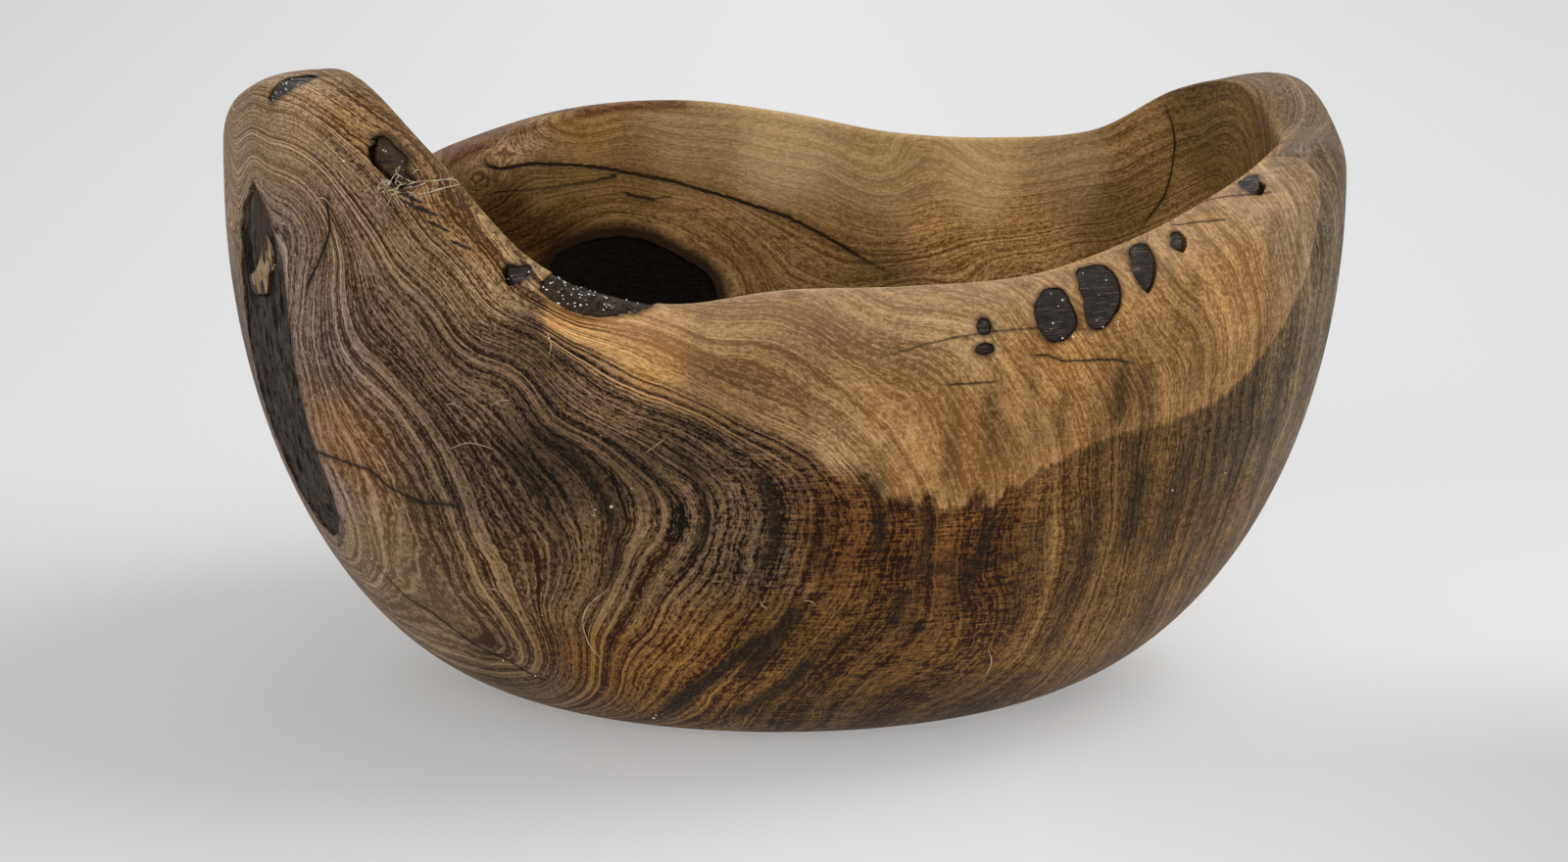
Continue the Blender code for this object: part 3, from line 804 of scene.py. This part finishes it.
class Nodes:
    """Short names for building a material's node tree."""

    def __init__(self, name):
        self.material = bpy.data.materials.new(name)
        self.material.use_nodes = True
        self.tree = self.material.node_tree
        self.shader = self.tree.nodes["Principled BSDF"]

    def node(self, kind, inputs=(), **settings):
        made = self.tree.nodes.new(kind)
        for key, value in settings.items():
            setattr(made, key, value)
        for key, value in dict(inputs).items():
            self.put(made.inputs[key], value)
        return made

    def put(self, socket, value):
        if isinstance(value, bpy.types.NodeSocket):
            self.tree.links.new(value, socket)
        else:
            socket.default_value = value

    def math(self, operation, a, b=0.0):
        made = self.node("ShaderNodeMath", operation=operation)
        self.put(made.inputs[0], a)
        self.put(made.inputs[1], b)
        return made.outputs[0]

    def total(self, *terms):
        result = terms[0]
        for term in terms[1:]:
            result = self.math("ADD", result, term)
        return result

    def times(self, *factors):
        result = factors[0]
        for factor in factors[1:]:
            result = self.math("MULTIPLY", result, factor)
        return result

    def less(self, value):
        """What is missing from 1."""
        return self.math("SUBTRACT", 1.0, value)

    def stretched(self, scale):
        """Position in millimetres, times a scale for each axis."""
        coordinate = self.node("ShaderNodeTexCoord").outputs["Object"]
        made = self.node("ShaderNodeVectorMath", operation="MULTIPLY")
        self.put(made.inputs[0], coordinate)
        scale = scale if hasattr(scale, "__len__") else (scale,) * 3
        made.inputs[1].default_value = [s / MM for s in scale]
        return made.outputs[0]

    def texture(self, dimensions, detail, rough, **inputs):
        """Noise from -1 to 1."""
        inputs.update({"Scale": 1.0, "Detail": detail, "Roughness": rough})
        made = self.node("ShaderNodeTexNoise", inputs, noise_dimensions=dimensions)
        return self.span(made.outputs[0], 0.25, 0.75, -1, 1)

    def noise(self, scale, detail=1.0, rough=0.5, shift=0.0):
        """Noise in space; scale is in waves per millimetre."""
        moved = self.node("ShaderNodeVectorMath", operation="ADD")
        self.put(moved.inputs[0], self.stretched(scale))
        moved.inputs[1].default_value = (shift, shift * 0.7, shift * 1.3)
        return self.texture("3D", detail, rough, Vector=moved.outputs[0])

    def streak(self, along, scale):
        """Lines across the grain; scale is in waves for each growth level."""
        return self.texture("1D", 1.0, 0.5, W=self.times(along, scale))

    def fibres(self, along, across, scale):
        """Short lengths that lie along the grain."""
        return self.texture("4D", 2.0, 0.6, W=self.times(along, across),
                            Vector=self.stretched(scale))

    def span(self, value, low_in, high_in, low_out=0.0, high_out=1.0, smooth=False, clamp=False):
        made = self.node("ShaderNodeMapRange", clamp=clamp,
                         interpolation_type="SMOOTHSTEP" if smooth else "LINEAR")
        for key, number in zip((0, 1, 2, 3, 4), (value, low_in, high_in, low_out, high_out)):
            self.put(made.inputs[key], number)
        return made.outputs[0]

    def step(self, value, low_in, high_in):
        return self.span(value, low_in, high_in, 0, 1, smooth=True, clamp=True)

    def mix(self, a, b, share):
        made = self.node("ShaderNodeMix", data_type="RGBA")
        made.clamp_factor = False
        self.put(made.inputs[0], share)
        for socket, value in ((made.inputs[6], a), (made.inputs[7], b)):
            self.put(socket, (*value, 1) if isinstance(value, tuple) else value)
        return made.outputs[2]

    def number(self, name):
        return self.node("ShaderNodeAttribute", attribute_name=name).outputs["Fac"]

    def colour(self, name):
        return self.node("ShaderNodeAttribute", attribute_name=name).outputs["Color"]

    def channels(self, colour):
        made = self.node("ShaderNodeSeparateColor")
        self.put(made.inputs[0], colour)
        return made.outputs[:3]

    def finish(self, colour, roughness, height, depth_mm, gloss=0.2):
        self.shader.inputs["Specular IOR Level"].default_value = gloss
        self.shader.inputs["Specular Tint"].default_value = WARM_GLOSS
        self.put(self.shader.inputs["Base Color"], colour)
        self.put(self.shader.inputs["Roughness"], roughness)
        bump = self.node("ShaderNodeBump", {"Height": height, "Distance": depth_mm * MM})
        self.put(self.shader.inputs["Normal"], bump.outputs[0])
        return self.material


# Lines across the grain: waves for each growth level, share.
GRAIN_LINES = ((0.23, 0.28), (0.75, 0.28), (2.1, 0.36), (5.0, 0.28))
RING_WAVES = 0.5
MIDDLE_TONE = 0.46
CURL_DARK = (0.010, 0.004, 0.0)
STROKE_DARK = (0.010, 0.005, 0.003)
SOAK_DARK = (0.016, 0.006, 0.002)
HALO_DARK = (0.02, 0.012, 0.007)
CRACK_DARK = (0.012, 0.008, 0.006)


def grain_lines(n):
    """The growth level at each point, slightly wandering, and the lines it makes."""
    wander = n.total(n.noise(1 / 20, 0), n.times(n.noise(1 / 6, 0, shift=5), 0.16),
                     n.times(n.noise(1 / 1.6, 0, shift=9), 0.05))
    level = n.total(n.number("growth"), n.times(wander, n.span(n.number("inside"), 0, 1, 1.0, 0.3)))
    fade = n.span(n.noise(1 / 13, 1, shift=21), -0.6, 0.6, 0.2, 1.0, clamp=True)
    part = n.math("FRACT", n.times(level, RING_WAVES))
    ring = n.times(n.step(part, 0.6, 0.93), n.less(n.step(part, 0.94, 1.0)), fade, -0.45)
    return level, n.total(*(n.times(n.streak(level, waves), share)
                            for waves, share in GRAIN_LINES), ring)


def wood_edge(n, lines, speck):
    """Where the heartwood ends: -1 is sapwood, 1 heartwood; and a dark line along the edge."""
    jagged = n.total(n.times(n.noise((0.35, 0.35, 0.08), 2, shift=31), 2.0),
                     n.times(n.noise(0.9, 1, shift=33), 0.4))
    crisp = n.number("crisp")
    streaky = n.times(n.span(crisp, 0, 1, 1.0, 0.12), n.total(n.times(lines, -5.0), speck))
    edge = n.total(n.number("heart"), n.times(jagged, n.number("jag")), streaky)
    line = n.times(n.less(n.step(n.math("ABSOLUTE", edge), 0.2, 1.0)), crisp)
    return n.math("DIVIDE", edge, n.span(crisp, 0, 1, 4.0, 1.0)), line


def wood_material():
    n = Nodes("root wood grain")
    fleck_share, curl_share, line_share = n.channels(n.colour("character"))
    level, lines = grain_lines(n)
    fleck = n.noise((0.28, 0.28, 2.6), 2, 0.6, shift=3)
    speck = n.noise(1.9, 2, 0.7, shift=17)
    dust = n.fibres(level, 4.0, 0.8)
    blotch = n.noise((0.06, 0.06, 0.13), 2, shift=61)
    tone = n.total(MIDDLE_TONE, n.times(lines, line_share), n.times(speck, 0.55),
                   n.times(dust, 0.7), n.times(fleck, fleck_share, 0.36), n.times(blotch, 0.2))
    tone = n.span(tone, -0.08, 1.6, -0.08, 1.6, clamp=True)
    heart = n.mix(n.colour("heart_dark"), n.colour("heart_light"), tone)
    sap = n.mix(n.colour("sap_dark"), n.colour("sap_light"), n.span(tone, 0, 1, 0.17, 0.95))
    edge, edge_line = wood_edge(n, lines, speck)
    colour = n.mix(sap, heart, n.step(edge, -1.0, 1.0))
    curl = n.step(n.noise((0.2, 0.2, 0.03), 1, shift=41), 0.0, 1.0)
    colour = n.mix(colour, CURL_DARK, n.times(curl, curl_share, 0.42))
    stroke = n.math("MAXIMUM", n.number("stroke"), n.times(edge_line, 0.45))
    stroke = n.times(stroke, n.span(n.total(speck, dust), -1.5, 1.5, 1.15, 0.75, clamp=True))
    colour = n.mix(colour, STROKE_DARK, n.span(stroke, 0, 1, 0, 0.97, clamp=True))
    soak = n.span(n.total(n.number("soak"), n.times(speck, 0.06), n.times(fleck, 0.05)),
                  0.12, 0.75, 0.0, 0.97, clamp=True)
    colour = n.mix(colour, SOAK_DARK, soak)
    wobble = n.times(n.noise(1 / 1.3, 2, shift=51), 0.35)
    crack, halo = 0.0, 0.0
    for layer in (0, 1):
        gap = n.math("ABSOLUTE", n.total(n.number(f"crack_{layer}"), wobble))
        strength = n.number(f"crack_strength_{layer}")
        crack = n.math("MAXIMUM", crack, n.times(n.less(n.step(gap, 0.25, 0.9)), strength))
        halo = n.math("MAXIMUM", halo, n.times(n.less(n.step(gap, 0.5, 3.0)), strength))
    colour = n.mix(colour, HALO_DARK, n.times(halo, 0.35))
    colour = n.mix(colour, CRACK_DARK, crack)
    rough = n.total(0.56, n.times(speck, 0.06), n.times(tone, -0.06), n.times(crack, 0.3))
    height = n.total(n.times(lines, 0.25), n.times(speck, 0.3), n.times(fleck, 0.25),
                     n.times(crack, -3.0))
    return n.finish(colour, rough, height, 0.09, gloss=0.16)


wood_attributes(body)
SHARP_ANGLE = math.radians(42)
dress(body, wood_material())
body.data.set_sharp_from_angle(angle=SHARP_ANGLE)


def closeness(n, spot, reach):
    """1 at a spot, 0 at the reach (mm along each axis) and beyond."""
    offset = n.node("ShaderNodeVectorMath", operation="SUBTRACT")
    n.put(offset.inputs[0], n.stretched([1 / r for r in reach]))
    offset.inputs[1].default_value = [c / r for c, r in zip(spot, reach)]
    length = n.node("ShaderNodeVectorMath", operation="LENGTH")
    n.put(length.inputs[0], offset.outputs[0])
    edge = n.total(length.outputs["Value"], n.times(n.noise(0.7, 2), 0.22))
    return n.span(edge, 0.75, 1.0, 1, 0, smooth=True, clamp=True)


def dead_knot_material(name, dark, light, scratched, gloss):
    n = Nodes(name)
    scratch = n.noise((0.3, 0.3, 4.4), 2, 0.6)
    lump = n.noise(0.8, 2, 0.6, shift=4)
    shade = n.span(n.total(scratch, n.times(lump, 0.7)), -1.2, 1.4, 0, 1, clamp=True)
    colour = n.mix(dark, light, shade)
    thin = n.step(n.total(n.noise((0.22, 0.22, 6.0), 1, shift=8), n.times(lump, 0.3)), 0.45, 0.8)
    colour = n.mix(colour, (0.16, 0.12, 0.10), n.times(thin, scratched))
    return n.finish(colour, n.span(lump, -1, 1, 0.35, 0.65), n.total(scratch, lump), 0.14, gloss)


def bark_material():
    n = Nodes("bark")
    grain = n.noise((1.3, 1.3, 0.11), 3, 0.65)
    lump = n.noise(0.3, 3, 0.65, shift=4)
    speck = n.noise(2.2, 2, 0.7, shift=9)
    shade = n.span(n.total(grain, n.times(lump, 0.9), n.times(speck, 0.6)), -1.3, 1.5, 0, 1,
                   clamp=True)
    colour = n.mix((0.003, 0.002, 0.002), (0.185, 0.150, 0.125), shade)
    split = n.step(n.noise((0.9, 0.9, 0.06), 2, 0.6, shift=13), 0.15, 0.55)
    colour = n.mix(colour, (0.004, 0.003, 0.003), n.times(split, 0.85))
    flake = closeness(n, spots([(203, 89)])[0], (6, 3.2, 10))
    plate = n.mix((0.050, 0.032, 0.022), (0.14, 0.10, 0.075),
                  n.span(grain, -1, 1, 0, 1, clamp=True))
    colour = n.mix(colour, plate, flake)
    # The pit is painted near-black: painted shade in the hollow, which the bump only dents.
    pit = closeness(n, spots([(198.5, 82)])[0], (6, 3.0, 7))
    colour = n.mix(colour, (0.004, 0.003, 0.003), n.times(pit, 0.9))
    height = n.total(n.times(grain, 1.2), lump, n.times(speck, 0.4), n.times(flake, 0.8),
                     n.times(pit, -1.5), n.times(split, -1.0))
    return n.finish(colour, 0.75, height, 0.5, gloss=0.1)


def strip_material():
    n = Nodes("wet bark")
    lump = n.noise(0.9, 3, 0.65)
    shade = n.span(n.total(lump, n.times(n.noise(2.4, 1, shift=6), 0.5)), -1.1, 1.5, 0, 1,
                   clamp=True)
    colour = n.mix((0.004, 0.002, 0.001), (0.085, 0.052, 0.032), shade)
    return n.finish(colour, 0.5, lump, 0.4, gloss=0.12)


def splinter_material():
    n = Nodes("raw splinter")
    grain = n.noise((1.5, 1.5, 0.25), 3, 0.6)
    lump = n.noise(0.3, 1, 0.6, shift=4)
    shade = n.span(n.total(grain, lump), -1.3, 1.3, 0, 1, clamp=True)
    colour = n.mix((0.16, 0.095, 0.045), (0.50, 0.36, 0.21), shade)
    return n.finish(colour, 0.72, grain, 0.2)


knot_look = dead_knot_material("dead knot resin", (0.004, 0.003, 0.003), (0.045, 0.032, 0.028),
                               0.75, 0.25)
LOOKS = {
    "left_bark_inclusion": bark_material(), "notch_bark_strip": strip_material(),
    "bark_splinter": splinter_material(),
    "inner_knot": dead_knot_material("inner knot", (0.0015, 0.001, 0.001), (0.009, 0.005, 0.004),
                                     0.0, 0.08),
    "lobe_edge_knot": dead_knot_material("edge knot", (0.005, 0.003, 0.002), (0.10, 0.05, 0.025),
                                         0.1, 0.25),
    "lobe_top_knot": dead_knot_material("top knot", (0.005, 0.004, 0.004), (0.11, 0.10, 0.095),
                                        0.9, 0.3),
}
SLOTS = {"left_bark_inclusion": "bark", "notch_bark_strip": "bark", "bark_splinter": "splinter"}
for node, piece in inlays.items():
    dress(piece, LOOKS.get(node, knot_look))
    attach(piece, "root")
    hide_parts(node)
    SLOTS.get(node, "dead_knot")

# ---- torn and raised fibres, dust in the pores, and pale grains as painted glints on the bark strip ----


def lifted(places, gap):
    """Points a little above the skin."""
    lifted_points = []
    for point in spots(places):
        near, outward = skin.find_nearest(Vector(point * MM))[:2]
        lifted_points.append(np.array(near) / MM + gap * np.array(outward))
    return np.array(lifted_points)


def tubes(name, paths, radius):
    """One mesh of thin round threads with pointed ends."""
    curve = bpy.data.curves.new(name, "CURVE")
    curve.dimensions = "3D"
    curve.bevel_depth = radius * MM
    curve.bevel_resolution = 1
    curve.resolution_u = 5
    for path in paths:
        spline = curve.splines.new("BEZIER")
        spline.bezier_points.add(len(path) - 1)
        for point, spot in zip(spline.bezier_points, path):
            point.co = Vector(spot) * MM
            point.handle_left_type = point.handle_right_type = "AUTO"
        spline.bezier_points[0].radius = spline.bezier_points[-1].radius = 0.3
    obj = new_object(name, curve)
    mesh = evaluated_mesh(obj)
    bpy.data.objects.remove(obj)
    return new_object(name, mesh)


FIBRES = [
    [(248, 34), (244, 29), (243, 23), (244, 19)],
    [(231.5, 65), (232.7, 65), (233.8, 64)],
    [(237, 65.7), (238.2, 66.6), (239.5, 67)],
    [(231, 57), (233.5, 58.5), (236.5, 58)],
    [(254.6, 59.5), (255.9, 61), (256.8, 62)],
    [(267, 33), (267.3, 32), (268, 31.5)],
    [(272.5, 33), (273.4, 32.8), (274, 32)],
    [(228.7, 30), (231.5, 31.2), (232.6, 30.8)],
    [(299, 21), (300.7, 18), (301.5, 13.5)],
    [(214, 95.5), (216, 97), (217.5, 95.5)],
    [(244, 79), (244.6, 77), (244.4, 75)],
]
TORN_PLACE = np.array([226.2, 100.4])     # below the knot on the lobe's edge
TORN_FIBRES = 44
FIBRE_RADIUS = 0.09
paths = [lifted(places, 0.08) for places in FIBRES]
for _ in range(TORN_FIBRES):
    start = TORN_PLACE + rng.normal(0, 1, 2) * (1.4, 1.2)
    turn = rng.normal(0, 1.0, (2, 2)) * (0.35, 0.5)
    route = [start, start + turn[0], start + turn[0] + turn[1]]
    lift = 0.05 + rng.random(3) * 0.3
    paths.append(np.concatenate([lifted([spot], gap) for spot, gap in zip(route, lift)]))
fibres = tubes("raised_fibres", paths, FIBRE_RADIUS)


def pale_material(name, dark, light, patches, rough, bumps):
    """Dry and pale; patches and bumps are in waves per millimetre."""
    n = Nodes(name)
    shade = n.span(n.noise(patches), -1, 1, 0, 1, clamp=True)
    return n.finish(n.mix(dark, light, shade), rough, n.noise(bumps), 0.02)


fibres.data.materials.append(pale_material("dry fibres", (0.34, 0.25, 0.14), (0.72, 0.62, 0.44),
                                           0.5, 0.8, 3))
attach(fibres, "root")

# Short dark gashes under the knot on the lobe's edge: where each starts, its length in degrees.
GASHES = [(224.4, 101.2, 3.4), (225.6, 100.2, 3.2), (226.4, 98.8, 3.4), (228.2, 97.8, 2.4),
          (229.6, 95.6, 2.6), (232.4, 92.6, 2.2)]
GASH_FALL = 0.7               # mm lower for each degree
GASH_RADIUS = 0.34


def gash(direction, z, length):
    """Five points across the slope, a little under the skin."""
    return lifted([(direction + length * t, z - GASH_FALL * length * t)
                   for t in (0, 0.25, 0.5, 0.75, 1)], -0.12)


gashes = tubes("rim_gashes", [gash(*values) for values in GASHES], GASH_RADIUS)
gashes.data.materials.append(knot_look)
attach(gashes, "root")

# Single grains: direction, height, size in mm.
DUST = [
    (248, 48.7, 0.34), (247.7, 47.6, 0.2), (225.5, 28.7, 0.22), (237.6, 27.2, 0.3),
    (244.6, 20.9, 0.22), (207.5, 95, 0.2), (219.3, 103.8, 0.45), (230.2, 93.9, 0.25),
    (235, 93, 0.3), (244.3, 78, 0.3), (252.6, 63, 0.22), (252.6, 53, 0.25), (249.6, 62, 0.22),
    (210.7, 31.5, 0.3), (226.3, 15.5, 0.4), (318.4, 47.4, 0.25), (327.2, 48.2, 0.3),
    (250, 49.5, 0.45), (301.4, 77.6, 0.4), (306.8, 79.4, 0.3), (300.2, 77.5, 0.3),
    (307.5, 80.5, 0.22), (280.5, 56, 0.2), (286, 53, 0.2), (214, 99, 0.2), (230.5, 13, 0.4),
    (247, 5.5, 0.5), (248, 6.5, 0.3),
]


CORNERS = np.array([(1, 0, 0), (-1, 0, 0), (0, 1, 0), (0, -1, 0), (0, 0, 1), (0, 0, -1)])
SIDES = np.array([(0, 2, 4), (2, 1, 4), (1, 3, 4), (3, 0, 4), (2, 0, 5), (1, 2, 5), (3, 1, 5),
                  (0, 3, 5)])


def dust_grains(name, grains):
    """Small uneven pale lumps: dust, and on the bark strip painted glints."""
    points, faces = [], []
    for centre, size in grains:
        faces += (SIDES + len(points)).tolist()
        lumps = rng.uniform(0.6, 1.2, len(CORNERS))
        points += list(centre + 0.7 * size * lumps[:, None] * CORNERS)
    return mesh_object(name, np.array(points) * MM, faces)


STRIP_GLINT_GRAINS = 56
KNOT_GRAINS = {"rim_knot_left": 5, "rim_knot_middle": 5, "lobe_top_knot": 22, "notch_knot": 7,
               "lobe_edge_knot": 6}
grains = [(lifted([(direction, z)], 0.02)[0], size) for direction, z, size in DUST]
strip = vertices(inlays["notch_bark_strip"])
strip_up = normals(inlays["notch_bark_strip"])[:, 2] > 0.6
# Pale grains on the bark strip's upper faces stand in for glints: painted highlights.
for i in rng.choice(np.nonzero(strip_up)[0], STRIP_GLINT_GRAINS, replace=False):
    grains.append((strip[i], rng.uniform(0.16, 0.42)))
for node, count in KNOT_GRAINS.items():
    shell = vertices(inlays[node])
    away = out_of_wood(node, shell)
    facing = (normals(inlays[node]) * away).sum(1) > 0.6
    for i in rng.choice(np.nonzero(facing)[0], count, replace=False):
        grains.append((shell[i], rng.uniform(0.14, 0.34)))
dust = dust_grains("pore_dust_and_glints", grains)
dust.data.materials.append(pale_material("pale dust and glints", (0.60, 0.57, 0.53), (0.90, 0.89, 0.87),
                                         0.8, 0.7, 4))
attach(dust, "root")

# ---- studio ----
FLOOR_CORNERS = ((-6, -4, 0), (6, -4, 0), (6, 8, 0), (-6, 8, 0))
FLOOR_GREY = (0.53, 0.53, 0.53, 1)
WHITE = (1, 1, 1, 1)


def floor_material():
    """Pale grey with a soft glow: painted light, brightest in the middle and dimmer to the sides,
    with painted shadow darker to the bowl's left and in the near right corner and lighter to its
    right; places in mm.
    """
    n = Nodes("floor")
    axes = n.node("ShaderNodeSeparateXYZ")
    n.put(axes.inputs[0], n.stretched(1))
    x, y = axes.outputs[:2]
    near_bowl = n.span(y, 60, 160, 1, 0, clamp=True)
    # Painted shadow: the glow is lowered to the bowl's left and raised to its right.
    painted_shadow_tilt = n.times(n.span(x, -90, 90, -0.065, 0.055, clamp=True), near_bowl)
    # Painted shadow: the glow is lowered in the near right corner.
    corner = n.times(n.span(x, 40, 130, 0, -0.2, clamp=True),
                     n.span(y, -60, 20, 1, 0, clamp=True))
    # The floor glows though it is no lamp: painted light, dimmer to the sides.
    glow = n.span(n.math("ABSOLUTE", x), 0, 300, 0.31, 0.19, clamp=True)
    for name, value in (("Base Color", FLOOR_GREY), ("Roughness", 0.9), ("Emission Color", WHITE),
                        ("Emission Strength", n.total(glow, painted_shadow_tilt, corner))):
        n.put(n.shader.inputs[name], value)
    return n.material


floor = mesh_object("floor", FLOOR_CORNERS, [(0, 1, 2, 3)])
floor.data.materials.append(floor_material())


def area_light(name, place_at, aim, size, power):
    data = bpy.data.lights.new(name, "AREA")
    data.shape = "RECTANGLE"
    data.size, data.size_y = size
    data.energy = power
    lamp = new_object(name, data)
    lamp.location = place_at
    lamp.rotation_euler = (Vector(aim) - Vector(place_at)).to_track_quat("-Z", "Y").to_euler()


world = bpy.data.worlds.new("studio")
bpy.context.scene.world = world
world.use_nodes = True
background = world.node_tree.nodes["Background"]
background.inputs["Color"].default_value = WHITE
background.inputs["Strength"].default_value = 0.56
area_light("key", (1.25, 0.1, 1.6), (0, 0, 0.05), (1.1, 1.1), 14)
area_light("front", (-0.3, -1.9, 0.75), (0, 0, 0.05), (1.8, 0.9), 13)
area_light("behind", (0, 2.4, 1.5), (0, 1.1, 0), (2.4, 0.8), 9)
bpy.context.scene.view_settings.view_transform = "Standard"

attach(body, "root")
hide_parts("bowl_body")
